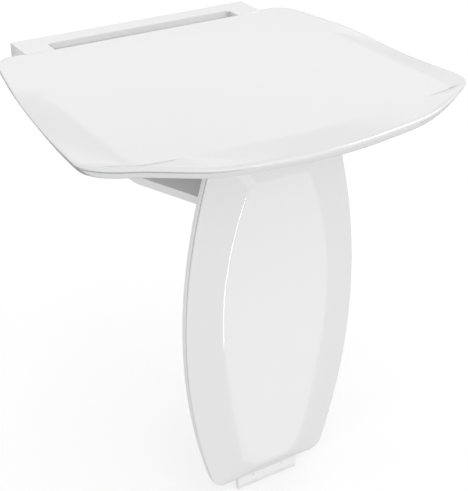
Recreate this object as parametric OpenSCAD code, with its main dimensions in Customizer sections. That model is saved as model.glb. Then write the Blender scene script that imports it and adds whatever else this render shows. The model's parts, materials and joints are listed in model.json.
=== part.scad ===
// Wall-hung folding shower seat with a support leg.
// Millimetres, +Z up. The wall is the plane y = 0 and the room is on the -Y side.
// The origin is the centre of the four wall fixings, on the wall.
// Two equal-length links (the seat itself and the lower link) keep the leg upright as the seat folds.

/* [Seat] */
// Height of the sitting surface above the centre of the wall fixings
seat_top = 52; // [50:1:56]
// Height of the sitting surface above the floor
seat_height = 480; // [470:5:500]
// Reach of the front edge from the wall
seat_reach = 424; // [420:1:430]
// Largest half width of the seat, before its corners are rounded
seat_half = 226; // [222:1:230]
// Half width of the flat sitting surface
flat_half = 186; // [180:1:190]
// Drop of the outer edge below the sitting surface, along the sides
side_drop = 5.8; // [4:0.2:6]
// Rise of the outer edge above the sitting surface, at the front corners
corner_lift = 3.4; // [0:0.2:3.6]
// Drop of the outer edge at the middle of the front
front_drop = 2.2; // [0:0.2:4]
// Depth of the rounded rim below the outer edge
rim_depth = 13; // [12:0.5:14]
// Thickness of the seat shell
skin = 4.5; // [3.5:0.5:4.5]

/* [Wall bracket] */
// Half width of the bracket
bracket_half = 155; // [152:1:156]
// Height of the end cheeks
cheek_h = 45; // [40:1:46]
// Half width of the lower part of the bracket
lower_half = 112; // [108:1:114]
// Height of the whole bracket
bracket_h = 104; // [102:1:108]
// Depth of the back bar behind the slot
bar_depth = 27.5; // [26:0.5:27.5]
// Half length of the slot that the folded link passes through
slot_half = 121; // [119:1:122]
// Distance of the slot's back edge from the wall, at the top
slot_back = 24.5; // [24:0.5:26]
// Distance of the slot's back face from the wall, at the foot of its slope
slot_lean = 32; // [30:0.5:33]
// Distance of the seat's rear edge from the wall, in front of the slot
slot_front = 47.5; // [47:0.5:48]

/* [Wall fixings] */
// Spacing of the four wall screws along the wall
fixing_dx = 140; // [136:1:144]
// Spacing of the four wall screws up the wall
fixing_dz = 60; // [56:1:64]
// Diameter of the screw holes
fixing_d = 7; // [6:0.5:8]

/* [Linkage] */
// Distance of the seat hinge from the wall
hinge_y = 36; // [36:0.5:36.5]
// Depth of the seat hinge below the sitting surface
hinge_drop = 11; // [11:0.5:11.5]
// Distance from the seat hinge to the leg hinge
link_length = 256; // [254:1:258]
// Height of the seat hinge above the lower link's hinge
hinge_gap = 79; // [78:1:80]
// Distance that the lower hinges stand in front of the upper hinges
hinge_step = 3; // [3:0.5:3.5]
// Thickness of the lower link
link_t = 9; // [8:0.5:9]

/* [Leg] */
// Largest half width of the leg
leg_half = 108; // [104:1:112]
// Radius of the leg's long side curves
leg_r = 650; // [620:10:700]
// Half width of the raised panel on the leg's front
panel_half = 68; // [64:1:72]
// Thickness of the leg at its edges
leg_edge_t = 10; // [9:0.5:10]
// Thickness of the leg at its raised panel
leg_t = 18; // [17:0.5:19]
// Length of the foot that shows below the leg
foot_show = 18; // [16:1:20]

/* [Hidden] */

white = [0.93, 0.93, 0.93];
steel = [0.72, 0.73, 0.75];
rubber = [0.3, 0.3, 0.32];
nylon = [0.85, 0.85, 0.82];

$fn = 48;
eps = 0.01;

// Heights and distances in the part's own frame
under_z = seat_top - skin;                 // underside of the flat skin
hinge_z = seat_top - hinge_drop;
leg_hinge_y = -(hinge_y + link_length);
link_y = -(hinge_y + hinge_step);          // lower link's wall hinge
link_z = hinge_z - hinge_gap;
link_leg_y = link_y - link_length;         // lower link's leg hinge
floor_z = seat_top - seat_height;
leg_back = leg_hinge_y - 13;               // rear plane of the leg
leg_front = leg_back - leg_edge_t;
panel_front = leg_back - leg_t;
leg_top = seat_top - 25;
leg_bottom = floor_z + foot_show;
leg_mid = (leg_top + leg_bottom) / 2 - 4;  // height of the widest place of the leg

// Hinges: pin radii, bushes and arms
stub_r = 4;
bush_gap = 0.05;
bush_wall = 1.2;
arm_in = bracket_half + 3;                 // inner face of the seat's side arms
arm_t = 12;
arm_h = 13;
eye_r = 6.4;
link_pin_r = 4;
leg_pin_r = 3.5;
leg_eye_r = 5.8;
cheek_in = 52;                             // inner face of the leg bracket's cheeks
cheek_t = 4;
frame_front = -330;

// ---------- helpers ----------

function unit(v) = v / norm(v);
function turn(a) = a > 180 ? a - 360 : a < -180 ? a + 360 : a;

// Points of the arc that rounds corner b, between its neighbours a and c
function corner_arc(a, b, c, r, n) =
    let (u = unit(a - b), v = unit(c - b), half = acos(u * v) / 2,
         start = b + u * r / tan(half), finish = b + v * r / tan(half),
         mid = b + unit(u + v) * r / sin(half),
         a0 = atan2(start.y - mid.y, start.x - mid.x),
         a1 = atan2(finish.y - mid.y, finish.x - mid.x), d = turn(a1 - a0))
    [for (i = [0:n]) mid + r * [cos(a0 + d * i / n), sin(a0 + d * i / n)]];

// Closed outline from corners [x, y, radius]: n steps for each arc, m more points on each straight
function rounded(corners, n, m = 0) = let (k = len(corners),
    arcs = [for (i = [0:k - 1])
        let (a = corners[(i + k - 1) % k], b = corners[i], c = corners[(i + 1) % k])
        corner_arc([a.x, a.y], [b.x, b.y], [c.x, c.y], b.z, n)])
    [for (i = [0:k - 1]) let (start = arcs[i][n], finish = arcs[(i + 1) % k][0])
        each concat(arcs[i], [for (j = [1:1:m]) start + (finish - start) * j / (m + 1)])];

// The same outline moved inwards by d, for a loop that runs anticlockwise
function inset(pts, d) = let (k = len(pts))
    [for (i = [0:k - 1]) let (t = unit(pts[(i + 1) % k] - pts[(i + k - 1) % k]))
        pts[i] + d * [-t.y, t.x]];

// Left half of an outline, from rear to front, completed with its mirror image
function both_sides(left) = let (k = len(left))
    [each left, for (i = [k - 2:-1:0]) [-left[i].x, left[i].y, left[i].z]];

// Closed solid through rings that run anticlockwise, seen from where the last ring lies
module lofted(rings) {
    k = len(rings[0]);
    n = len(rings);
    walls = [for (r = [0:n - 2], i = [0:k - 1]) let (j = (i + 1) % k, m = (r + 1) * k)
        each [[r * k + i, m + j, r * k + j], [r * k + i, m + i, m + j]]];
    caps = [[for (i = [0:k - 1]) i], [for (i = [k - 1:-1:0]) (n - 1) * k + i]];
    polyhedron([for (r = rings) each r], [each walls, each caps], convexity = 6);
}

module at_sides() {
    children();
    mirror([1, 0, 0]) children();
}

// Cylinder along X from x0 to x1
module rod(x0, x1, r, y, z) {
    translate([x0, y, z]) rotate([0, 90, 0]) cylinder(r = r, h = x1 - x0);
}

// Bush or washer along X
module ring_x(x0, x1, outer, inner, y, z) {
    difference() {
        rod(x0, x1, outer, y, z);
        rod(x0 - 1, x1 + 1, inner, y, z);
    }
}

// Box between two corners
module block(a, b) {
    translate(a) cube(b - a);
}

// ---------- wall bracket ----------

fixings = [for (sx = [-1, 1], sz = [-1, 1]) [sx * fixing_dx / 2, sz * fixing_dz / 2]];
plate_screws = [[-98, 0], [98, 0], [0, 38], [0, -38]];
plate_half = lower_half - 4.5;
plate_t = 4;
fixing_head_r = 8;
cheek_nose_r = norm([slot_front - hinge_y, hinge_drop]) - 0.5; // cheek's front, round about the hinge
link_lugs = [[42, 57.4], [84, 99.4]];                          // bracket's lugs either side of a knuckle
link_knuckle = [58, 83.4];
lug_r = 7.5;
set_screw_x = 140;

module wall_bracket() color(white) difference() {
    union() {
        block([-bracket_half, -bar_depth, seat_top - cheek_h], [bracket_half, 0, seat_top - 6]);
        at_sides() block([slot_half - 4, -bar_depth, seat_top - 7], [bracket_half, 0, seat_top]);
        // Back face of the slot, which leans forward so that water and the link are led down
        translate([-slot_half, 0, 0]) rotate([90, 0, 90]) linear_extrude(2 * slot_half)
            polygon([[0, seat_top], [-slot_back, seat_top], [-slot_lean, seat_top - 22],
                [-slot_lean, seat_top - 26], [-bar_depth + 1, seat_top - 28], [0, seat_top - 28]]);
        block([-lower_half, -bar_depth, seat_top - bracket_h], [lower_half, 0, seat_top - cheek_h + eps]);
        at_sides() intersection() {
            union() {
                rod(slot_half, bracket_half, cheek_nose_r, -hinge_y, hinge_z);
                block([slot_half, -hinge_y, hinge_z - cheek_nose_r],
                [bracket_half, -bar_depth + 1, seat_top]);
                block([slot_half, -hinge_y - 8, seat_top - cheek_h], [bracket_half, -bar_depth + 1, hinge_z]);
            }
            block([slot_half, -60, seat_top - cheek_h], [bracket_half, 0, seat_top]);
        }
        at_sides() for (lug = link_lugs) {
            rod(lug[0], lug[1], lug_r, link_y, link_z);
            block([lug[0], link_y, link_z - lug_r], [lug[1], -bar_depth + 1, link_z + lug_r]);
        }
    }
    block([-plate_half - 0.2, -plate_t - 0.05, -bracket_h / 2 + 4.3],
        [plate_half + 0.2, 1, bracket_h / 2 - 4.3]);
    for (p = fixings) translate([p.x, 0, p.y]) rotate([90, 0, 0]) {
        cylinder(d = fixing_d, h = 60);
        translate([0, 0, 14]) cylinder(r = fixing_head_r, h = 60);
    }
    for (p = plate_screws) translate([p.x, 0, p.y]) rotate([90, 0, 0]) cylinder(r = 2, h = 16);
    at_sides() {
        rod(126, bracket_half + 1, stub_r + 0.02, -hinge_y, hinge_z);
        translate([set_screw_x, -hinge_y, seat_top - cheek_h - 1]) cylinder(r = 2, h = cheek_h - hinge_drop);
        for (lug = link_lugs) rod(lug[0] - 1, lug[1] + 1, link_pin_r + 0.02, link_y, link_z);
    }
}

module wall_plate() color(steel) difference() {
    block([-plate_half, -plate_t, -bracket_h / 2 + 4.5], [plate_half, 0, bracket_h / 2 - 4.5]);
    for (p = fixings) translate([p.x, 1, p.y]) rotate([90, 0, 0]) cylinder(d = fixing_d, h = 10);
    for (p = plate_screws) translate([p.x, 1, p.y]) rotate([90, 0, 0]) {
        cylinder(r = 2.1, h = 10);
        cylinder(r = 4, h = 3);
    }
}

module wall_plate_screws() color(steel)
    for (p = plate_screws) translate([p.x, -0.2, p.y]) rotate([90, 0, 0]) {
        cylinder(r = 1.98, h = 15);
        cylinder(r = 3.9, h = 1.75);
    }

module hinge_stub_pins() color(steel) at_sides()
    rod(126.5, arm_in + arm_t - 0.5, stub_r, -hinge_y, hinge_z);

module stub_pin_set_screws() color(steel) at_sides()
    translate([set_screw_x, -hinge_y, seat_top - cheek_h + 0.5])
        cylinder(r = 1.98, h = cheek_h - hinge_drop - stub_r - 0.55);

module link_wall_pin() color(steel)
    rod(-102, 102, link_pin_r, link_y, link_z);

module link_wall_pin_clips() color(steel) at_sides()
    ring_x(99.6, 100.8, 6.5, link_pin_r + 0.02, link_y, link_z);

module fold_buffers() color(rubber) at_sides()
    block([20, link_y + link_t / 2 + 0.6, 2], [60, -bar_depth, 24]);

// ---------- seat ----------

rear_y = -41;       // rear edge of the seat beside the bracket
side_low_y = -264;  // where the side edges are lowest
lift_x = 186;       // where the front corners are highest
lift_y = -386;
edge_corners = both_sides([[-191, rear_y, 30], [-212, -150, 700], [-seat_half, -350, 62],
    [-135, -seat_reach + 15, 200], [0, -seat_reach, 500]]);
flat_corners = both_sides([[-flat_half + 3, rear_y - 4, 12], [-flat_half + 3, -150, 900],
    [-flat_half - 1, -366, 22], [-135, -372, 200], [0, -382, 500]]);
edge_line = rounded(edge_corners, 8, 9);
flat_line = rounded(flat_corners, 8, 9);
screw_spots = [for (y = [-95, -200, -300]) [179, y]];

// Smooth hump, 1 at the middle and 0 at the distance w from it
function hump(d, w) = let (u = min(1, abs(d) / w)) (1 - u * u) * (1 - u * u);
// Rise of the outer edge: level at the rear corners, low along the sides, lifted at the front corners
function edge_lift(p) = -side_drop * hump(p.y - side_low_y, 130)
    + corner_lift * hump(norm([abs(p.x) - lift_x, p.y - lift_y]), 75)
    - front_drop * (p.y < lift_y ? hump(p.x, 150) : 0);
function at_edge(pts, dz) = [for (p = pts) [p.x, p.y, seat_top + edge_lift(p) + dz]];
function at_z(pts, z) = [for (p = pts) [p.x, p.y, z]];

module seat_shell() color(white) difference() {
    union() {
        lofted([
            at_z(inset(flat_line, 2), under_z),
            at_edge(inset(edge_line, 11), -skin - 2),
            at_edge(inset(edge_line, 11), -rim_depth),
            at_edge(inset(edge_line, 6.5), -rim_depth),
            at_edge(inset(edge_line, 2), -8),
            at_edge(edge_line, -3.5),
            at_edge(inset(edge_line, 1), -1),
            at_edge(inset(edge_line, 3), 0),
            at_z(flat_line, seat_top)]);
        at_sides() for (p = screw_spots)
            translate([p.x, p.y, seat_top - 16]) cylinder(r = 6, h = 16 - skin + 1);
    }
    rod(-arm_in + 1.5, arm_in - 1.5, cheek_nose_r + 0.5, -hinge_y, hinge_z);
    block([-arm_in + 1.5, -slot_front, 0], [arm_in - 1.5, 0, seat_top + 1]);
    block([-arm_in + 1.5, -70, 0], [arm_in - 1.5, 0, under_z - 0.5]);
    at_sides() {
        block([arm_in - 1.5, -70, 0], [arm_in + arm_t + 3.5, 0, under_z]);
        for (p = screw_spots) translate([p.x, p.y, 0]) cylinder(r = 2, h = seat_top - 6.5);
    }
}

seat_lugs = [[cheek_in - 6.5, cheek_in - 0.5], [cheek_in + cheek_t + 0.5, cheek_in + cheek_t + 6.5]];

module seat_frame() color(steel) difference() {
    union() {
        at_sides() {
            rod(arm_in, arm_in + arm_t, eye_r, -hinge_y, hinge_z);
            block([arm_in, frame_front, under_z - arm_h], [arm_in + arm_t, -hinge_y - 4.7, under_z]);
            for (p = screw_spots) {
                translate([p.x, p.y, seat_top - 19]) cylinder(r = 6.5, h = 3);
                block([arm_in + arm_t - 1, p.y - 6.5, seat_top - 17.5], [p.x, p.y + 6.5, seat_top - 16]);
            }
            for (lug = seat_lugs) {
                rod(lug[0], lug[1], 6.2, leg_hinge_y, hinge_z);
                block([lug[0], leg_back, hinge_z - 6.2], [lug[1], leg_hinge_y, hinge_z + 6.2]);
            }
        }
        block([-arm_in - 1, leg_back - 15, under_z - arm_h], [arm_in + 1, leg_back + 1.5, under_z]);
        block([-arm_in - 1, -92, under_z - 3.5], [arm_in + 1, -62, under_z]);
    }
    at_sides() {
        rod(arm_in - 1, arm_in + arm_t + 1, stub_r + bush_gap + 1, -hinge_y, hinge_z);
        for (lug = seat_lugs) rod(lug[0] - 1, lug[1] + 1, leg_pin_r + 0.02, leg_hinge_y, hinge_z);
        for (p = screw_spots) translate([p.x, p.y, 0]) cylinder(r = 2.2, h = seat_top - 14);
    }
}

module seat_screws() color(steel) at_sides() for (p = screw_spots) {
    translate([p.x, p.y, seat_top - 19]) cylinder(r = 1.98, h = 11);
    translate([p.x, p.y, seat_top - 21]) cylinder(r = 3.8, h = 2);
}

module seat_hinge_bushes() color(nylon) at_sides()
    ring_x(arm_in, arm_in + arm_t, stub_r + bush_gap + 0.99, stub_r + bush_gap, -hinge_y, hinge_z);

module hinge_friction_washers() color(nylon) at_sides()
    ring_x(bracket_half + 0.1, arm_in - 0.3, 7.4, stub_r + 0.05, -hinge_y, hinge_z);

module seat_hinge_caps() color(white) at_sides()
    rod(arm_in + arm_t, arm_in + arm_t + 2, 6, -hinge_y, hinge_z);

module leg_hinge_pins() color(steel) at_sides() {
    rod(seat_lugs[0][0] - 0.5, seat_lugs[1][1] + 0.5, leg_pin_r, leg_hinge_y, hinge_z);
    rod(seat_lugs[1][1], seat_lugs[1][1] + 1.5, 5.5, leg_hinge_y, hinge_z);
}

// ---------- leg ----------

wall_t = 3;
panel_top = leg_top - 50;
panel_bottom = leg_bottom + 17;
panel_mid = leg_mid + 18;
panel_r_up = 364;
panel_r_low = 640;
cover_t = 2;
bottom_corner = 12;
spine_half = 36;
spine_t = 7.2;
spine_wall = 1.2;
spine_top = seat_top - 112;
spine_bottom = leg_bottom + 24;
slide_half = spine_half - spine_wall - 0.15;
tongue_half = 33.5;
cover_screws = [[84, -120], [90, -200], [84, -285], [52, -385]];
rivet_spots = [[20, seat_top - 125], [20, seat_top - 140]];
clamp_spots = [[15, leg_bottom + 70]];

function leg_w(z) = leg_half - (z - leg_mid) * (z - leg_mid) / (2 * leg_r);
function panel_w(z) = panel_half
    - (z - panel_mid) * (z - panel_mid) / (2 * (z > panel_mid ? panel_r_up : panel_r_low));
// Steps from 0 to 1 that crowd together at both ends
function steps(n) = [for (i = [0:n]) (1 - cos(180 * i / n)) / 2];
// Loss of width where a corner of radius c rounds off an end that is d away
function corner_cut(d, c) = d < c ? c - sqrt(c * c - (c - d) * (c - d)) : 0;
function leg_side(d, n) = let (z0 = leg_bottom + d, z1 = leg_top - d)
    [for (t = steps(n)) let (z = z0 + (z1 - z0) * t)
        [leg_w(z) - d - corner_cut(z - z0, bottom_corner - d / 2), z]];
function panel_side(d, n) = let (z0 = panel_bottom + d, z1 = panel_top - d)
    [for (t = steps(n)) let (z = z0 + (z1 - z0) * t)
        [panel_w(z) - d - corner_cut(z - z0, bottom_corner) - corner_cut(z1 - z, 6), z]];
function loop(side) = let (k = len(side))
    [each side, for (i = [k - 1:-1:0]) [-side[i].x, side[i].y]];
function at_y(pts, y) = [for (p = pts) [p.x, y, p.y]];

module leg_front_shell() color(white) difference() {
    union() {
        lofted([
            at_y(loop(panel_side(wall_t, 28)), panel_front + wall_t),
            at_y(loop(leg_side(wall_t, 28)), leg_front + wall_t),
            at_y(loop(leg_side(wall_t, 28)), leg_back - cover_t),
            at_y(loop(leg_side(0, 28)), leg_back - cover_t),
            at_y(loop(leg_side(0, 28)), leg_front + 1),
            at_y(loop(leg_side(1, 28)), leg_front),
            at_y(loop(panel_side(0, 28)), panel_front)]);
        at_sides() for (p = cover_screws)
            translate([p.x, leg_back - cover_t, p.y]) rotate([90, 0, 0]) cylinder(r = 4, h = 11);
    }
    at_sides() for (p = cover_screws)
        translate([p.x, leg_back, p.y]) rotate([90, 0, 0]) cylinder(r = 1.5, h = 7.5);
    block([-foot_half - 0.5, leg_front + 1.6, leg_bottom - 1], [foot_half + 0.5, leg_back, leg_bottom + 14]);
}

module leg_rear_cover() color(white) difference() {
    translate([0, leg_back, 0]) rotate([90, 0, 0]) linear_extrude(cover_t)
        polygon(loop(leg_side(0, 28)));
    at_sides() {
        block([cheek_in - 0.5, leg_back - 5, link_z - 9.5],
            [cheek_in + cheek_t + 0.5, leg_back + 5, leg_top + 1]);
        for (p = cover_screws) translate([p.x, leg_back + 1, p.y]) rotate([90, 0, 0]) {
            cylinder(r = 1.7, h = 10);
            cylinder(r = 3.2, h = 2.4);
        }
        for (p = clamp_spots)
            translate([p.x, leg_back + 1, p.y]) rotate([90, 0, 0]) cylinder(r = 5, h = 10);
    }
}

module leg_spine() color(steel) difference() {
    block([-spine_half, leg_back - cover_t - 0.1 - spine_t, spine_bottom],
        [spine_half, leg_back - cover_t - 0.1, spine_top]);
    block([-spine_half + spine_wall, leg_back - cover_t - 0.1 - spine_t + spine_wall, spine_bottom - 1],
        [spine_half - spine_wall, leg_back - cover_t - 0.1 - spine_wall, spine_top + 1]);
    at_sides() {
        for (p = concat(rivet_spots, clamp_spots))
            translate([p.x, leg_back, p.y]) rotate([90, 0, 0]) cylinder(r = 2, h = 20);
    }
}

tongue_back = leg_back - cover_t - 0.1 - spine_wall - 0.1;
tongue_front = leg_back - cover_t - 0.1 - spine_t + spine_wall + 0.1;
slide_front = tongue_front + 1.5;

module leg_bracket() color(steel) difference() {
    union() {
        block([-cheek_in - cheek_t, leg_back - 5.1, spine_top + 0.5],
            [cheek_in + cheek_t, leg_back - cover_t - 0.1, leg_top - 5]);
        block([-tongue_half, tongue_front, spine_top - 36], [tongue_half, tongue_back, spine_top + 6]);
        at_sides() {
            block([cheek_in, leg_back - 5.1, link_z - 8], [cheek_in + cheek_t, leg_hinge_y + 4.5, leg_top - 5]);
            block([cheek_in, leg_hinge_y - leg_eye_r, leg_top - 8],
                [cheek_in + cheek_t, leg_hinge_y + leg_eye_r, hinge_z]);
            rod(cheek_in, cheek_in + cheek_t, leg_eye_r, leg_hinge_y, hinge_z);
            rod(cheek_in, cheek_in + cheek_t, 6.5, link_leg_y, link_z);
        }
    }
    at_sides() {
        rod(cheek_in - 1, cheek_in + cheek_t + 1, leg_pin_r + 0.8, leg_hinge_y, hinge_z);
        rod(cheek_in - 1, cheek_in + cheek_t + 1, leg_pin_r + 0.02, link_leg_y, link_z);
        for (p = rivet_spots) translate([p.x, leg_back, p.y]) rotate([90, 0, 0]) cylinder(r = 2, h = 20);
    }
}

module leg_bracket_rivets() color(steel) at_sides() for (p = rivet_spots)
    translate([p.x, leg_back - cover_t - 0.1, p.y]) rotate([90, 0, 0]) {
        cylinder(r = 1.98, h = spine_t);
        translate([0, 0, spine_t]) cylinder(r = 3.2, h = 0.8);
    }

module leg_cover_screws() color(steel) at_sides() for (p = cover_screws)
    translate([p.x, leg_back - 0.1, p.y]) rotate([90, 0, 0]) {
        cylinder(r = 1.48, h = 7);
        cylinder(r = 3, h = 1.3);
    }

module leg_hinge_bushes() color(nylon) at_sides()
    ring_x(cheek_in, cheek_in + cheek_t, leg_pin_r + 0.78, leg_pin_r + bush_gap, leg_hinge_y, hinge_z);

module link_leg_pins() color(steel) at_sides()
    rod(link_leg_knuckles[0][0] - 1, link_leg_knuckles[1][1] + 1, leg_pin_r, link_leg_y, link_z);

// ---------- lower link ----------

link_leg_knuckles = [[cheek_in - 12, cheek_in - 1.5], [cheek_in + cheek_t + 1.5, cheek_in + cheek_t + 12]];
link_half = 115;
link_end_half = 82;
link_knuckle_r = 7.3;
link_leg_knuckle_r = 6.4;
link_end_y = leg_back + 3;
open_gap = 0.25;    // the pivot between link and leg runs with this much more clearance

module lower_link() color(white) difference() {
    union() {
        translate([0, 0, link_z - link_t / 2]) linear_extrude(link_t) polygon(rounded(both_sides([
            [-link_half, link_y - 12, 4], [-link_half, -222, 40], [-link_end_half, link_end_y, 3],
            [0, link_end_y - 0.2, 10]]), 6));
        at_sides() {
            rod(link_knuckle[0], link_knuckle[1], link_knuckle_r, link_y, link_z);
            block([link_knuckle[0], link_y - 14, link_z - link_t / 2],
                [link_knuckle[1], link_y, link_z + link_t / 2]);
            for (k = link_leg_knuckles) rod(k[0], k[1], link_leg_knuckle_r, link_leg_y, link_z);
        }
    }
    at_sides() {
        rod(link_knuckle[0] - 1, link_knuckle[1] + 1, link_pin_r + bush_gap + 1, link_y, link_z);
        rod(link_leg_knuckles[0][0] - 3, link_leg_knuckles[1][1] + 3, leg_pin_r + open_gap + 1,
            link_leg_y, link_z);
        block([cheek_in - 1.2, link_end_y - 5, link_z - 20],
            [cheek_in + cheek_t + 1.2, link_leg_y + 13, link_z + 20]);
        for (lug = link_lugs)
            block([lug[0] - 0.6, link_y - 16, link_z - 20], [lug[1] + 0.6, link_y + 20, link_z + 20]);
    }
}

module link_wall_bushes() color(nylon) at_sides()
    ring_x(link_knuckle[0], link_knuckle[1], link_pin_r + bush_gap + 0.98, link_pin_r + bush_gap,
        link_y, link_z);

module link_leg_bushes() color(nylon) at_sides() for (k = link_leg_knuckles)
    ring_x(k[0], k[1], leg_pin_r + open_gap + 0.98, leg_pin_r + open_gap, link_leg_y, link_z);

// ---------- foot ----------

foot_half = 41;
foot_back = leg_back - cover_t - 0.2;
foot_front = leg_front + 2;
pad_t = 5;
slide_top = leg_bottom + 150;
shoe_top = leg_bottom + 5;
foot_pin_z = floor_z + pad_t + 9;

module foot_slide() color(steel) difference() {
    block([-slide_half, slide_front, floor_z + pad_t + 3], [slide_half, tongue_back, slide_top]);
    at_sides() {
        for (p = clamp_spots) {
            block([p.x - 2.2, tongue_front - 1, p.y - 10], [p.x + 2.2, tongue_back + 1, p.y + 28]);
            for (z = [p.y - 10, p.y + 28])
                translate([p.x, tongue_back + 1, z]) rotate([90, 0, 0]) cylinder(r = 2.2, h = 20);
        }
        translate([20, leg_back, foot_pin_z]) rotate([90, 0, 0]) cylinder(r = 1.5, h = 20);
    }
}

module foot_shoe() color(white) difference() {
    block([-foot_half, foot_front, floor_z + pad_t], [foot_half, foot_back, shoe_top]);
    block([-slide_half - 0.05, slide_front - 0.05, floor_z + pad_t + 3],
        [slide_half + 0.05, tongue_back + 0.05, shoe_top + 1]);
    at_sides() translate([20, leg_back, foot_pin_z]) rotate([90, 0, 0]) cylinder(r = 1.5, h = 20);
}

module foot_pad() color(rubber)
    block([-foot_half, foot_front, floor_z], [foot_half, foot_back, floor_z + pad_t]);

module foot_pins() color(steel) at_sides()
    translate([20, foot_back - 0.1, foot_pin_z]) rotate([90, 0, 0])
        cylinder(r = 1.49, h = foot_back - foot_front - 0.2);

module foot_clamp_screws() color(steel) at_sides() for (p = clamp_spots)
    translate([p.x, leg_back - cover_t, p.y]) rotate([90, 0, 0]) {
        cylinder(r = 1.98, h = spine_t + 1.5);
        translate([0, 0, -1.9]) cylinder(r = 4.4, h = 1.85);
        translate([0, 0, spine_t + 0.2]) cylinder(r = 3.6, h = 1.8);
    }

// ---------- nodes ----------

wall_bracket();
wall_plate();
wall_plate_screws();
hinge_stub_pins();
stub_pin_set_screws();
link_wall_pin();
link_wall_pin_clips();
fold_buffers();
seat_shell();
seat_frame();
seat_screws();
seat_hinge_bushes();
hinge_friction_washers();
seat_hinge_caps();
leg_front_shell();
leg_rear_cover();
leg_spine();
leg_bracket();
leg_bracket_rivets();
leg_cover_screws();
leg_hinge_pins();
leg_hinge_bushes();
link_leg_pins();
lower_link();
link_wall_bushes();
link_leg_bushes();
foot_slide();
foot_shoe();
foot_pad();
foot_pins();
foot_clamp_screws();
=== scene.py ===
import json
import math
import bmesh
import bpy
from mathutils import Euler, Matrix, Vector


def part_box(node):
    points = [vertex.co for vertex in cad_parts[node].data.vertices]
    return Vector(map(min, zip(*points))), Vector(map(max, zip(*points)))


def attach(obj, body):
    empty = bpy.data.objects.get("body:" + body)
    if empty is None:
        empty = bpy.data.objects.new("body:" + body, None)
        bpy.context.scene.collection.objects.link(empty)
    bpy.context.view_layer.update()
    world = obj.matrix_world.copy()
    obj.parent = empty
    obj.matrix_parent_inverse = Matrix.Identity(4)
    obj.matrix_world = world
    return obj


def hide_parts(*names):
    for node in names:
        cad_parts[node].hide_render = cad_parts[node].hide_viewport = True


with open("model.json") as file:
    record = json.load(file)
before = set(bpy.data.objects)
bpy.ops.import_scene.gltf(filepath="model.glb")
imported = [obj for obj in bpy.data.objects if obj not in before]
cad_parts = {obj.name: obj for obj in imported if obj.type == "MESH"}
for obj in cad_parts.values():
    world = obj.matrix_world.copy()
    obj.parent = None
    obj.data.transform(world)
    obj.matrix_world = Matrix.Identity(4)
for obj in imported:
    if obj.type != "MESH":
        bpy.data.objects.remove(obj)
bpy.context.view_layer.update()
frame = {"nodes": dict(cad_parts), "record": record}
NODES = frame["nodes"]
MM = 0.001


# ---------------------------------------------------------------- materials
def material(name, base, rough, metallic=0.0, coat=0.0, coat_rough=0.05, ior=1.5, subsurface=0.0):
    """A node material whose shader sockets hold the uniform values."""
    m = bpy.data.materials.new(name)
    m.use_nodes = True
    tree = m.node_tree
    tree.nodes.clear()
    out = tree.nodes.new("ShaderNodeOutputMaterial")
    bsdf = tree.nodes.new("ShaderNodeBsdfPrincipled")
    tree.links.new(bsdf.outputs["BSDF"], out.inputs["Surface"])
    bsdf.inputs["Base Color"].default_value = (*base, 1)
    bsdf.inputs["Roughness"].default_value = rough
    bsdf.inputs["Metallic"].default_value = metallic
    bsdf.inputs["IOR"].default_value = ior
    bsdf.inputs["Coat Weight"].default_value = coat
    bsdf.inputs["Coat Roughness"].default_value = coat_rough
    bsdf.inputs["Coat IOR"].default_value = 1.6
    if subsurface:
        bsdf.inputs["Subsurface Weight"].default_value = subsurface
        bsdf.inputs["Subsurface Radius"].default_value = (0.004, 0.004, 0.004)
        bsdf.inputs["Subsurface Scale"].default_value = 0.5
    return m, tree, bsdf


def noise(tree, scale, detail, rough=0.5, stretch=(1, 1, 1)):
    """Factor of a noise texture that sticks to the object."""
    coord = tree.nodes.new("ShaderNodeTexCoord")
    mapping = tree.nodes.new("ShaderNodeMapping")
    mapping.inputs["Scale"].default_value = stretch
    tex = tree.nodes.new("ShaderNodeTexNoise")
    tex.inputs["Scale"].default_value = scale
    tex.inputs["Detail"].default_value = detail
    tex.inputs["Roughness"].default_value = rough
    tree.links.new(coord.outputs["Object"], mapping.inputs["Vector"])
    tree.links.new(mapping.outputs["Vector"], tex.inputs["Vector"])
    return tex.outputs["Fac"]


def ramp(tree, fac, low, high):
    """Colour between low and high, by a factor from 0 to 1."""
    node = tree.nodes.new("ShaderNodeValToRGB")
    node.color_ramp.elements[0].color = (*low, 1)
    node.color_ramp.elements[1].color = (*high, 1)
    tree.links.new(fac, node.inputs["Fac"])
    return node.outputs["Color"]


def span(tree, fac, low, high, socket):
    """Drives a socket between low and high, by a factor from 0 to 1."""
    node = tree.nodes.new("ShaderNodeMapRange")
    node.inputs["From Min"].default_value = 0.0
    node.inputs["From Max"].default_value = 1.0
    node.inputs["To Min"].default_value = low
    node.inputs["To Max"].default_value = high
    tree.links.new(fac, node.inputs["Value"])
    tree.links.new(node.outputs["Result"], socket)


def bump(tree, bsdf, heights, distance):
    """Bump from a list of (height, strength), chained."""
    normal = None
    for height, strength in heights:
        node = tree.nodes.new("ShaderNodeBump")
        node.inputs["Strength"].default_value = strength
        node.inputs["Distance"].default_value = distance
        tree.links.new(height, node.inputs["Height"])
        if normal:
            tree.links.new(normal, node.inputs["Normal"])
        normal = node.outputs["Normal"]
    tree.links.new(normal, bsdf.inputs["Normal"])


def shade(colour, k):
    return tuple(c * k for c in colour)


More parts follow.
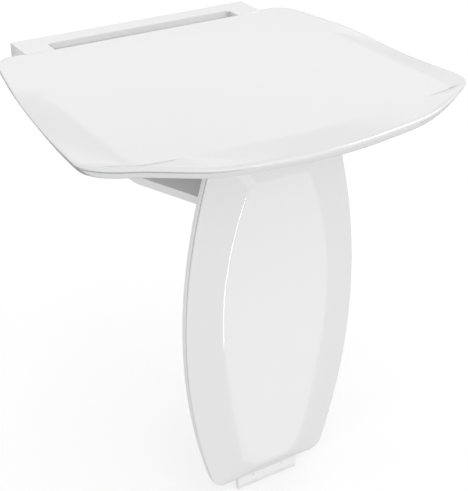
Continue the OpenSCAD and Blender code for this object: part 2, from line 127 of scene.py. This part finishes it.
def plastic(name, base, rough, coat, grain=0.02, peel=0.03):
    """Moulded plastic: slight tone drift, uneven gloss, orange peel and a fine mould grain."""
    m, tree, bsdf = material(name, base, rough, coat=coat, coat_rough=0.06, ior=1.5, subsurface=0.04)
    cloud = noise(tree, 7, 3)
    tree.links.new(ramp(tree, cloud, shade(base, 0.985), shade(base, 1.012)), bsdf.inputs["Base Color"])
    span(tree, noise(tree, 45, 4), rough * 0.85, rough * 1.2, bsdf.inputs["Roughness"])
    bump(tree, bsdf, [(noise(tree, 110, 1), peel), (noise(tree, 1600, 2), grain)], 0.0001)
    return m


def brushed(name, base, rough, stretch, lines=0.12):
    """Bare metal with brush lines along the axis that has the smallest stretch."""
    m, tree, bsdf = material(name, base, rough, metallic=1.0)
    streak = noise(tree, 900, 3, 0.6, stretch)
    tree.links.new(ramp(tree, streak, shade(base, 0.82), base), bsdf.inputs["Base Color"])
    span(tree, streak, rough * 0.7, rough * 1.4, bsdf.inputs["Roughness"])
    bump(tree, bsdf, [(streak, lines), (noise(tree, 60, 3), 0.03)], 0.0002)
    return m


def powder(name, base, rough):
    """Powder coat: a fine pebbled skin."""
    m, tree, bsdf = material(name, base, rough, coat=0.15, coat_rough=0.25)
    tree.links.new(ramp(tree, noise(tree, 30, 4), shade(base, 0.96), base), bsdf.inputs["Base Color"])
    fine = noise(tree, 700, 3)
    span(tree, fine, rough * 0.85, rough * 1.2, bsdf.inputs["Roughness"])
    bump(tree, bsdf, [(fine, 0.15), (noise(tree, 2200, 2), 0.08)], 0.0003)
    return m


def rubber(name, base):
    """Matt rubber with a blotchy tone."""
    m, tree, bsdf = material(name, base, 0.75)
    tone = ramp(tree, noise(tree, 80, 5), shade(base, 0.8), shade(base, 1.15))
    tree.links.new(tone, bsdf.inputs["Base Color"])
    fine = noise(tree, 1200, 4)
    span(tree, fine, 0.62, 0.86, bsdf.inputs["Roughness"])
    bump(tree, bsdf, [(fine, 0.25)], 0.0004)
    return m


WHITE = (0.83, 0.83, 0.832)
MATS = {
    "white_gloss": plastic("white_gloss", WHITE, 0.3, 1.0),
    "white_satin": plastic("white_satin", (0.82, 0.82, 0.822), 0.34, 0.1, grain=0.06, peel=0.04),
    "stainless": brushed("stainless", (0.66, 0.67, 0.68), 0.28, (0.05, 1, 1)),
    "zinc_steel": brushed("zinc_steel", (0.60, 0.61, 0.63), 0.34, (1, 1, 0.3), lines=0.06),
    "painted_frame": powder("painted_frame", (0.72, 0.72, 0.73), 0.42),
    "aluminium": brushed("aluminium", (0.72, 0.73, 0.74), 0.4, (1, 1, 0.04)),
    "nylon": plastic("nylon", (0.74, 0.74, 0.70), 0.45, 0.0, grain=0.08, peel=0.02),
    "white_rubber": rubber("white_rubber", (0.82, 0.82, 0.815)),
}
SLOTS = {part["node"]: part["material_slot"] for part in frame["record"]["subparts"]}


# ---------------------------------------------------------------- mesh tools
def mesh_object(name, verts, faces):
    me = bpy.data.meshes.new(name)
    me.from_pydata(verts, [], faces)
    obj = bpy.data.objects.new(name, me)
    bpy.context.scene.collection.objects.link(obj)
    bm = bmesh.new()
    bm.from_mesh(me)
    bmesh.ops.recalc_face_normals(bm, faces=bm.faces)
    bm.to_mesh(me)
    bm.free()
    return obj


def apply_modifiers(obj):
    deps = bpy.context.evaluated_depsgraph_get()
    me = bpy.data.meshes.new_from_object(obj.evaluated_get(deps))
    obj.modifiers.clear()
    obj.data = me


def tidy(obj, merge):
    """Joins doubled corners and, if asked, merges the flat triangles into plain faces."""
    bm = bmesh.new()
    bm.from_mesh(obj.data)
    bmesh.ops.remove_doubles(bm, verts=bm.verts, dist=2e-6)
    if merge:
        bmesh.ops.dissolve_limit(bm, angle_limit=math.radians(0.6), verts=bm.verts, edges=bm.edges)
    bm.to_mesh(obj.data)
    bm.free()


def soften(obj, width, segments=3, angle=35):
    """Rounds the sharp edges and shades the rest smoothly."""
    for poly in obj.data.polygons:
        poly.use_smooth = True
    bev = obj.modifiers.new("edges", "BEVEL")
    bev.width = width * MM
    bev.segments = segments
    bev.limit_method = "ANGLE"
    bev.angle_limit = math.radians(angle)
    bev.use_clamp_overlap = True
    bev.miter_outer = "MITER_ARC"
    apply_modifiers(obj)
    obj.data.set_sharp_from_angle(angle=math.radians(40))
    obj.modifiers.new("normals", "WEIGHTED_NORMAL").keep_sharp = True


def cut(obj, cutters):
    """Takes the cutters away from the mesh, and deletes them."""
    for cutter in cutters:
        mod = obj.modifiers.new("cut", "BOOLEAN")
        mod.operation = "DIFFERENCE"
        mod.solver = "EXACT"
        mod.object = cutter
        apply_modifiers(obj)
        bpy.data.objects.remove(cutter)


def box_mesh(a, b):
    """Closed box between two corners in millimetres, used as a cutter."""
    v = [(x * MM, y * MM, z * MM) for z in (a[2], b[2]) for y in (a[1], b[1]) for x in (a[0], b[0])]
    f = [(0, 2, 3, 1), (4, 5, 7, 6), (0, 1, 5, 4), (2, 6, 7, 3), (0, 4, 6, 2), (1, 3, 7, 5)]
    return mesh_object("blank", v, f)


def rod_mesh(x0, x1, r, y, z, n):
    """Closed rod along X in millimetres, used as a cutter."""
    ring = [(y + r * math.cos(2 * math.pi * i / n), z + r * math.sin(2 * math.pi * i / n)) for i in range(n)]
    v = [(x * MM, p[0] * MM, p[1] * MM) for x in (x0, x1) for p in ring]
    f = [tuple(range(n)), tuple(range(2 * n - 1, n - 1, -1))]
    f += [(i, (i + 1) % n, n + (i + 1) % n, n + i) for i in range(n)]
    return mesh_object("blank", v, f)


def piece(obj, body, slot, node):
    """Gives the mesh its material and body, and lets it stand for the CAD node."""
    obj.data.materials.clear()
    obj.data.materials.append(MATS[slot])
    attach(obj, body)
    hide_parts(node)


def refined(node, name, body, width, merge=True):
    """A CAD node's shape as a clean mesh with rounded edges, which stands for the node."""
    src = NODES[node]
    obj = bpy.data.objects.new(name, src.data.copy())
    obj.data.name = name
    bpy.context.scene.collection.objects.link(obj)
    obj.matrix_world = src.matrix_world.copy()
    tidy(obj, merge)
    soften(obj, width)
    piece(obj, body, SLOTS[node], node)


# ---------------------------------------------------------------- outlines
def rounded(corners, n, m=0):
    """Closed outline from corners (x, y, radius): n steps an arc, m more points on each straight."""
    k = len(corners)
    arcs = []
    for i in range(k):
        a, b, c = (Vector(corners[(i + j) % k][:2]) for j in (-1, 0, 1))
        r = corners[i][2]
        u, v = (a - b).normalized(), (c - b).normalized()
        half = math.acos(max(-1, min(1, u.dot(v)))) / 2
        mid = b + (u + v).normalized() * r / math.sin(half)
        s = b + u * r / math.tan(half) - mid
        e = b + v * r / math.tan(half) - mid
        a0 = math.atan2(s.y, s.x)
        d = (math.atan2(e.y, e.x) - a0 + math.pi) % (2 * math.pi) - math.pi
        turns = [a0 + d * t / n for t in range(n + 1)]
        arcs.append([mid + r * Vector((math.cos(turn), math.sin(turn))) for turn in turns])
    out = []
    for i in range(k):
        s, e = arcs[i][-1], arcs[(i + 1) % k][0]
        out += arcs[i] + [s.lerp(e, j / (m + 1)) for j in range(1, m + 1)]
    return out


def inset(pts, d):
    """The outline moved inwards by d, which is one distance or one for each point."""
    k = len(pts)
    out = []
    for i in range(k):
        t = (pts[(i + 1) % k] - pts[(i - 1) % k]).normalized()
        out.append(pts[i] + (d[i] if isinstance(d, list) else d) * Vector((-t.y, t.x)))
    return out


def both_sides(left):
    """The corners of the left half, and their mirror images after the one in the middle."""
    return left + [(-p[0], p[1], p[2]) for p in reversed(left[:-1])]


def loft(name, rings):
    """Closed mesh through rings of (x, y, z) in millimetres."""
    k = len(rings[0])
    verts = [tuple(c * MM for c in p) for ring in rings for p in ring]
    faces = [tuple(range(k)), tuple((len(rings) - 1) * k + i for i in reversed(range(k)))]
    for r in range(len(rings) - 1):
        for i in range(k):
            j = (i + 1) % k
            faces.append((r * k + i, r * k + j, (r + 1) * k + j, (r + 1) * k + i))
    return mesh_object(name, verts, faces)


def between(a, b, t):
    """The ring that lies a share t of the way from ring a to ring b."""
    return [tuple(p[i] + (q[i] - p[i]) * t for i in range(3)) for p, q in zip(a, b)]


def crease(start, tip, end, shares):
    """Rings of a rounded crease, which leaves start towards tip and comes to end."""
    return [[tuple((1 - t) ** 2 * a[k] + 2 * t * (1 - t) * b[k] + t * t * c[k] for k in range(3))
             for a, b, c in zip(start, tip, end)] for t in shares]


def hump(d, w):
    """Smooth bump of height 1 at d = 0, which ends at a distance w."""
    u = min(1, abs(d) / w)
    return (1 - u * u) ** 2


def ease(t):
    """Smooth step from 0 to 1."""
    t = max(0.0, min(1.0, t))
    return t * t * (3 - 2 * t)


# ---------------------------------------------------------------- seat
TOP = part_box("wall_bracket")[1][2] / MM      # sitting surface
SKIN, RIM = 4.5, 13                          # thickness of the skin, depth of the rim
SLOT_FRONT = -47.5
HINGE_Y, HINGE_DROP = -36, 11
HINGE_Z = TOP - HINGE_DROP
NOSE_R = math.hypot(SLOT_FRONT - HINGE_Y, HINGE_DROP) - 0.5
ARM_IN, ARM_T = 158, 12
SIDE_DROP, SIDE_LOW_Y = 5.8, -264            # how far the side edges sink, and where
CORNER_LIFT, LIFT_X, LIFT_Y = 3.4, 186, -386  # how far the front corners rise, and where
FRONT_DROP = 2.2                             # how far the middle of the front sinks
GAP = 2.3                                    # depth of the shadow gap and of the parting line

edge_corners = both_sides([(-191, -41, 30), (-212, -150, 700), (-226, -350, 62),
                           (-135, -409, 200), (0, -424, 500)])
flat_corners = both_sides([(-183, -45, 12), (-183, -150, 900), (-187, -366, 22),
                           (-135, -372, 200), (0, -382, 500)])
edge_line = rounded(edge_corners, 16, 14)
flat_line = rounded(flat_corners, 16, 14)
# section of the rim as (inset from the edge, drop below it, further inset where the gap is)
RIM_SECTION = ((9.6, 13, 0), (8.2, 13, 0), (7.0, 12.8, 0), (5.9, 12.2, 0), (4.8, 11.2, 0),
               (3.6, 9.7, 0), (2.5, 8.0, 0), (1.5, 6.3, 0), (1.1, 5.6, 0), (0.95, 5.3, 0),
               (0.9, 5.15, 0.3), (0.85, 5.05, GAP), (0.45, 3.95, GAP), (0.42, 3.85, 0.3),
               (0.4, 3.7, 0), (0.25, 3.4, 0), (0, 2.7, 0), (0.15, 1.8, 0), (0.6, 1.05, 0),
               (1.3, 0.45, 0), (2.2, 0.12, 0), (3.2, 0.0, 0))


def edge_lift(p):
    """How far the edge stands above the sitting surface at that point."""
    corner = math.hypot(abs(p.x) - LIFT_X, p.y - LIFT_Y)
    lift = -SIDE_DROP * hump(p.y - SIDE_LOW_Y, 130) + CORNER_LIFT * hump(corner, 75)
    if p.y < LIFT_Y:
        lift -= FRONT_DROP * hump(p.x, 150)
    return lift


def seat_mesh():
    """The seat's skin, from its underside out over the rim to the sitting surface."""
    lift = [edge_lift(p) for p in edge_line]

    def ring(d, dz):
        return [(q.x, q.y, TOP + h + dz) for q, h in zip(inset(edge_line, d), lift)]

    def level(d, z):
        return [(q.x, q.y, z) for q in inset(flat_line, d)]

    rings = [level(10, TOP - SKIN), level(2, TOP - SKIN), ring(12, -SKIN - 1.5), ring(11, -SKIN - 3),
             ring(11, -RIM + 0.6), ring(10.6, -RIM + 0.1)]
    # rounded edge, from the bottom of the rim over the outer edge to the border;
    # a shadow gap under the edge fades out towards the middle of the front
    fade = [1 if q.y > LIFT_Y else ease((abs(q.x) - 60) / 110) for q in edge_line]
    for inner, drop, gap in RIM_SECTION:
        rings.append(ring([inner + gap * f for f in fade], -drop))
    shoulder = ring(3.2, 0)
    flat = level(0, TOP)
    for t in (0.1, 0.25, 0.45, 0.65, 0.8):
        rings.append(between(shoulder, flat, t))
    # soft crease between border and sitting surface
    rings += crease(between(shoulder, flat, 0.88), flat, level(5, TOP), (0, 0.2, 0.4, 0.6, 0.8, 1))
    rings.append(level(9, TOP))
    rings.reverse()
    return loft("seat_top_shell", rings)


seat = seat_mesh()
cutters = [rod_mesh(-ARM_IN + 1.5, ARM_IN - 1.5, NOSE_R + 0.5, HINGE_Y, HINGE_Z, 96),
           box_mesh((-ARM_IN + 1.5, -47.5, 0), (ARM_IN - 1.5, 2, TOP + 9)),
           box_mesh((-ARM_IN + 1.4, -70, 0), (ARM_IN - 1.4, 3, TOP - SKIN - 0.5))]
for side in (-1, 1):
    x0, x1 = sorted((side * (ARM_IN - 1.5), side * (ARM_IN + ARM_T + 3.5)))
    cutters.append(box_mesh((x0, -70, 0), (x1, 4, TOP - SKIN)))
cut(seat, cutters)
soften(seat, 0.5, 2, 40)
piece(seat, "seat", "white_gloss", "seat_shell")


# ---------------------------------------------------------------- leg
LEG_BACK = -305
LEG_FRONT, PANEL_FRONT = LEG_BACK - 10, LEG_BACK - 18
SITTING_H, FOOT_H = 480, 18                  # sitting height, and what of it is below the leg
LEG_TOP, LEG_BOTTOM = TOP - 25, TOP - SITTING_H + FOOT_H
LEG_MID = (LEG_TOP + LEG_BOTTOM) / 2 - 4
PANEL_TOP, PANEL_BOTTOM, PANEL_MID = LEG_TOP - 50, LEG_BOTTOM + 17, LEG_MID + 18
LEG_CORNER = 12
PANEL_CORNER, PANEL_CORNER_TOP = 26, 9
CREASE = 3.0                                 # half width of the panel's crease
FADE = 8                                     # how much wider it is near the foot
FLAT_INSET = 12                              # where the panel is flat for certain
SIDE_STEPS = 64
FOOT_SLOT_HALF = 41.5


def leg_w(z):
    """Half width of the leg at that height."""
    return 108 - (z - LEG_MID) ** 2 / 1300


def panel_w(z):
    """Half width of the raised panel at that height."""
    return 68 - (z - PANEL_MID) ** 2 / (2 * (364 if z > PANEL_MID else 640))


def corner_cut(d, c):
    """How far a corner of radius c takes the side in, at a distance d from the end."""
    return c - math.sqrt(max(0, c * c - (c - d) ** 2)) if d < c else 0


def steps(n):
    """Shares from 0 to 1, closer together at both ends."""
    return [(1 - math.cos(math.pi * i / n)) / 2 for i in range(n + 1)]


def leg_side(d):
    """Right side of the leg's outline, moved inwards by d."""
    z0, z1 = LEG_BOTTOM + d, LEG_TOP - d
    out = []
    for t in steps(SIDE_STEPS):
        z = z0 + (z1 - z0) * t
        out.append((leg_w(z) - d - corner_cut(z - z0, LEG_CORNER - d / 2), z))
    return out


def panel_side(d):
    """Right side of the panel's outline, moved inwards by d."""
    z0, z1 = PANEL_BOTTOM + d, PANEL_TOP - d
    out = []
    for t in steps(SIDE_STEPS):
        z = z0 + (z1 - z0) * t
        x = panel_w(z) - d - corner_cut(z - z0, PANEL_CORNER) - corner_cut(z1 - z, PANEL_CORNER_TOP)
        out.append((max(x, 2), z))
    return out


def leg_loop(side, y):
    """Ring through a side of the outline and its mirror image."""
    return [(x, y, z) for x, z in side] + [(-x, y, z) for x, z in reversed(side)]


def leg_mesh():
    """The front shell of the leg, from its inside round the edge to the raised panel."""
    rings = [leg_loop(panel_side(14), PANEL_FRONT + 3), leg_loop(panel_side(3), PANEL_FRONT + 3),
             leg_loop(leg_side(3), LEG_FRONT + 3), leg_loop(leg_side(3), LEG_BACK - 2),
             leg_loop(leg_side(0.3), LEG_BACK - 2), leg_loop(leg_side(0), LEG_BACK - 2.3)]
    # parting line between front and rear, just behind the rounded front edge
    for d, y in ((0, 3.4), (0.12, 3.2), (GAP, 3.1), (GAP, 1.5), (0.12, 1.4), (0, 1.2)):
        rings.append(leg_loop(leg_side(d), LEG_FRONT + y))
    for i in range(1, 6):
        a = math.radians(90 * i / 5 - 4)
        rings.append(leg_loop(leg_side(1.2 * (1 - math.cos(a))), LEG_FRONT + 1.2 - 1.2 * math.sin(a)))
    foot = leg_loop(leg_side(1.4), LEG_FRONT)
    crest = leg_loop(panel_side(0), PANEL_FRONT)
    for t in (0.25, 0.5, 0.7):
        rings.append(between(foot, crest, t))
    # soft crease between the slope and the raised panel, which widens and fades towards the foot
    flat = leg_loop(panel_side(FLAT_INSET), PANEL_FRONT)
    start, end = [], []
    for p, q, inner in zip(foot, crest, flat):
        width = CREASE + FADE * ease((PANEL_MID - 20 - q[2]) / 130)
        share = width / max((Vector(p) - Vector(q)).length, width + 0.1)
        start.append(tuple(q[k] + (p[k] - q[k]) * share for k in range(3)))
        end.append(tuple(q[k] + (inner[k] - q[k]) * width / FLAT_INSET for k in range(3)))
    rings += crease(start, crest, end, [i / 8 for i in range(9)])
    rings.append(flat)
    return loft("leg_front", rings)


leg = leg_mesh()
cut(leg, [box_mesh((-FOOT_SLOT_HALF, LEG_FRONT + 1.6, LEG_BOTTOM - 1),
                   (FOOT_SLOT_HALF, LEG_BACK + 1, LEG_BOTTOM + 14))])
soften(leg, 0.3, 2, 40)
piece(leg, "leg", "white_gloss", "leg_front_shell")

# ---------------------------------------------------------------- the other visible bodies
refined("wall_bracket", "bracket_body", "root", 1.0, merge=False)
refined("leg_rear_cover", "leg_back_cover", "leg", 0.5)
refined("lower_link", "link_plate", "link", 1.2)
refined("seat_frame", "frame_rails", "seat", 0.6)
refined("leg_bracket", "leg_yoke", "leg", 0.5)
refined("foot_shoe", "foot_sleeve", "foot", 0.6)
refined("foot_pad", "foot_sole", "foot", 0.8)
refined("fold_buffers", "buffer_blocks", "root", 1.2)
refined("seat_hinge_caps", "hinge_covers", "seat", 0.6)

for node, obj in NODES.items():
    if obj.hide_render:
        continue
    obj.data.materials.clear()
    obj.data.materials.append(MATS[SLOTS[node]])

# ---------------------------------------------------------------- studio
FLOOR_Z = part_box("foot_pad")[0][2]


def floor_mesh():
    """Plain pale floor, which lights nothing and shows in no reflection."""
    bm = bmesh.new()
    bmesh.ops.create_grid(bm, x_segments=24, y_segments=24, size=30.0)
    me = bpy.data.meshes.new("studio_floor")
    bm.to_mesh(me)
    bm.free()
    obj = bpy.data.objects.new("studio_floor", me)
    obj.location = (0, 0, FLOOR_Z - 0.0002)
    obj.visible_diffuse = False
    obj.visible_glossy = False
    bpy.context.scene.collection.objects.link(obj)
    m, tree, bsdf = material("floor_pale", (0.95, 0.95, 0.95), 0.7)
    tone = ramp(tree, noise(tree, 3, 2), (0.94, 0.94, 0.94), (0.955, 0.955, 0.955))
    tree.links.new(tone, bsdf.inputs["Base Color"])
    bsdf.inputs["Emission Color"].default_value = (1, 1, 1, 1)
    bsdf.inputs["Emission Strength"].default_value = 0.17
    obj.data.materials.append(m)


floor_mesh()

world = bpy.data.worlds.new("studio")
bpy.context.scene.world = world
world.use_nodes = True
wt = world.node_tree
wt.nodes.clear()
sky = wt.nodes.new("ShaderNodeBackground")
wout = wt.nodes.new("ShaderNodeOutputWorld")
coord = wt.nodes.new("ShaderNodeTexCoord")
split = wt.nodes.new("ShaderNodeSeparateXYZ")
bands = wt.nodes.new("ShaderNodeValToRGB")
height = wt.nodes.new("ShaderNodeMapRange")
height.inputs["From Min"].default_value = -1
height.inputs["From Max"].default_value = 1
wt.links.new(coord.outputs["Generated"], split.inputs["Vector"])
wt.links.new(split.outputs["Z"], height.inputs["Value"])
wt.links.new(height.outputs["Result"], bands.inputs["Fac"])
wt.links.new(bands.outputs["Color"], sky.inputs["Color"])
wt.links.new(sky.outputs["Background"], wout.inputs["Surface"])
# brightness of the studio by the sine of the elevation, as a share of PEAK
PEAK = 1.45
levels = [(-1, 0.66), (-0.55, 0.74), (-0.1, 0.88), (0.12, 0.94), (0.27, 0.93), (0.34, 1.22), (0.42, 1.22),
          (0.5, 0.89), (0.75, 0.86), (1, 0.83)]
while len(bands.color_ramp.elements) < len(levels):
    bands.color_ramp.elements.new(0.5)
for element, (sine, value) in zip(bands.color_ramp.elements, levels):
    element.position = (sine + 1) / 2
    element.color = (value / PEAK, value / PEAK, value / PEAK, 1)
sky.inputs["Strength"].default_value = PEAK


def area(name, loc, target, size, size_y, radiance, diffuse=True, glossy=True):
    """Rectangular soft light of that radiance, facing the target."""
    data = bpy.data.lights.new(name, "AREA")
    data.shape = "RECTANGLE"
    data.size = size
    data.size_y = size_y
    data.energy = radiance * math.pi * size * size_y
    obj = bpy.data.objects.new(name, data)
    obj.location = loc
    obj.rotation_euler = (Vector(target) - Vector(loc)).to_track_quat("-Z", "Y").to_euler()
    obj.visible_diffuse = diffuse
    obj.visible_glossy = glossy
    obj.visible_camera = False
    bpy.context.scene.collection.objects.link(obj)


def dark_card(name, a, b):
    """Upright black card that only reflections see."""
    verts = [(a[0], a[1], a[2]), (b[0], b[1], a[2]), (b[0], b[1], b[2]), (a[0], a[1], b[2])]
    obj = mesh_object(name, verts, [(0, 1, 2, 3)])
    obj.data.materials.append(material(name, (0.02, 0.02, 0.02), 1.0, ior=1.0)[0])
    for flag in ("visible_camera", "visible_diffuse", "visible_shadow", "visible_transmission"):
        setattr(obj, flag, False)


dark_card("card_behind", (-0.6, 1.2, -1.7), (1.7, 1.2, 0.12))
area("front_fill", (0.15, -2.2, -0.05), (0, -0.3, -0.2), 1.6, 1.2, 0.75)
area("edge_light", (1.25, -0.80, 1.20), (0.08, -0.42, 0.05), 0.9, 0.6, 7.0, diffuse=False)
area("panel_light", (0.76, -1.42, -1.08), (0, -0.32, -0.2), 0.56, 1.1, 0.62, diffuse=False)
area("crease_light", (0.41, -1.62, -0.88), (-0.06, -0.32, -0.12), 0.10, 0.50, 8.0, diffuse=False)
area("foot_fill", (-0.70, -0.90, -0.62), (-0.06, -0.31, -0.42), 0.4, 0.4, 1.4, glossy=False)

# ---------------------------------------------------------------- camera
cam_data = bpy.data.cameras.new("camera")
cam = bpy.data.objects.new("camera", cam_data)
bpy.context.scene.collection.objects.link(cam)
cam_data.sensor_fit = "AUTO"
cam_data.sensor_width = 36
cam_data.lens = 80.83
cam_data.clip_start = 0.05
AZ, PITCH, ROLL = math.radians(-31.95), math.radians(29.41), math.radians(0.32)
cam.location = (-0.5753, -1.1569, 0.4679)
look = Euler((math.pi / 2 - PITCH, 0, AZ), "XYZ").to_matrix()
spin = Euler((0, 0, ROLL), "XYZ").to_matrix()
cam.rotation_euler = (look @ spin).to_euler()
bpy.context.scene.camera = cam

view = bpy.context.scene.view_settings
view.view_transform = "Standard"
view.look = "None"
view.exposure = 0
view.gamma = 1
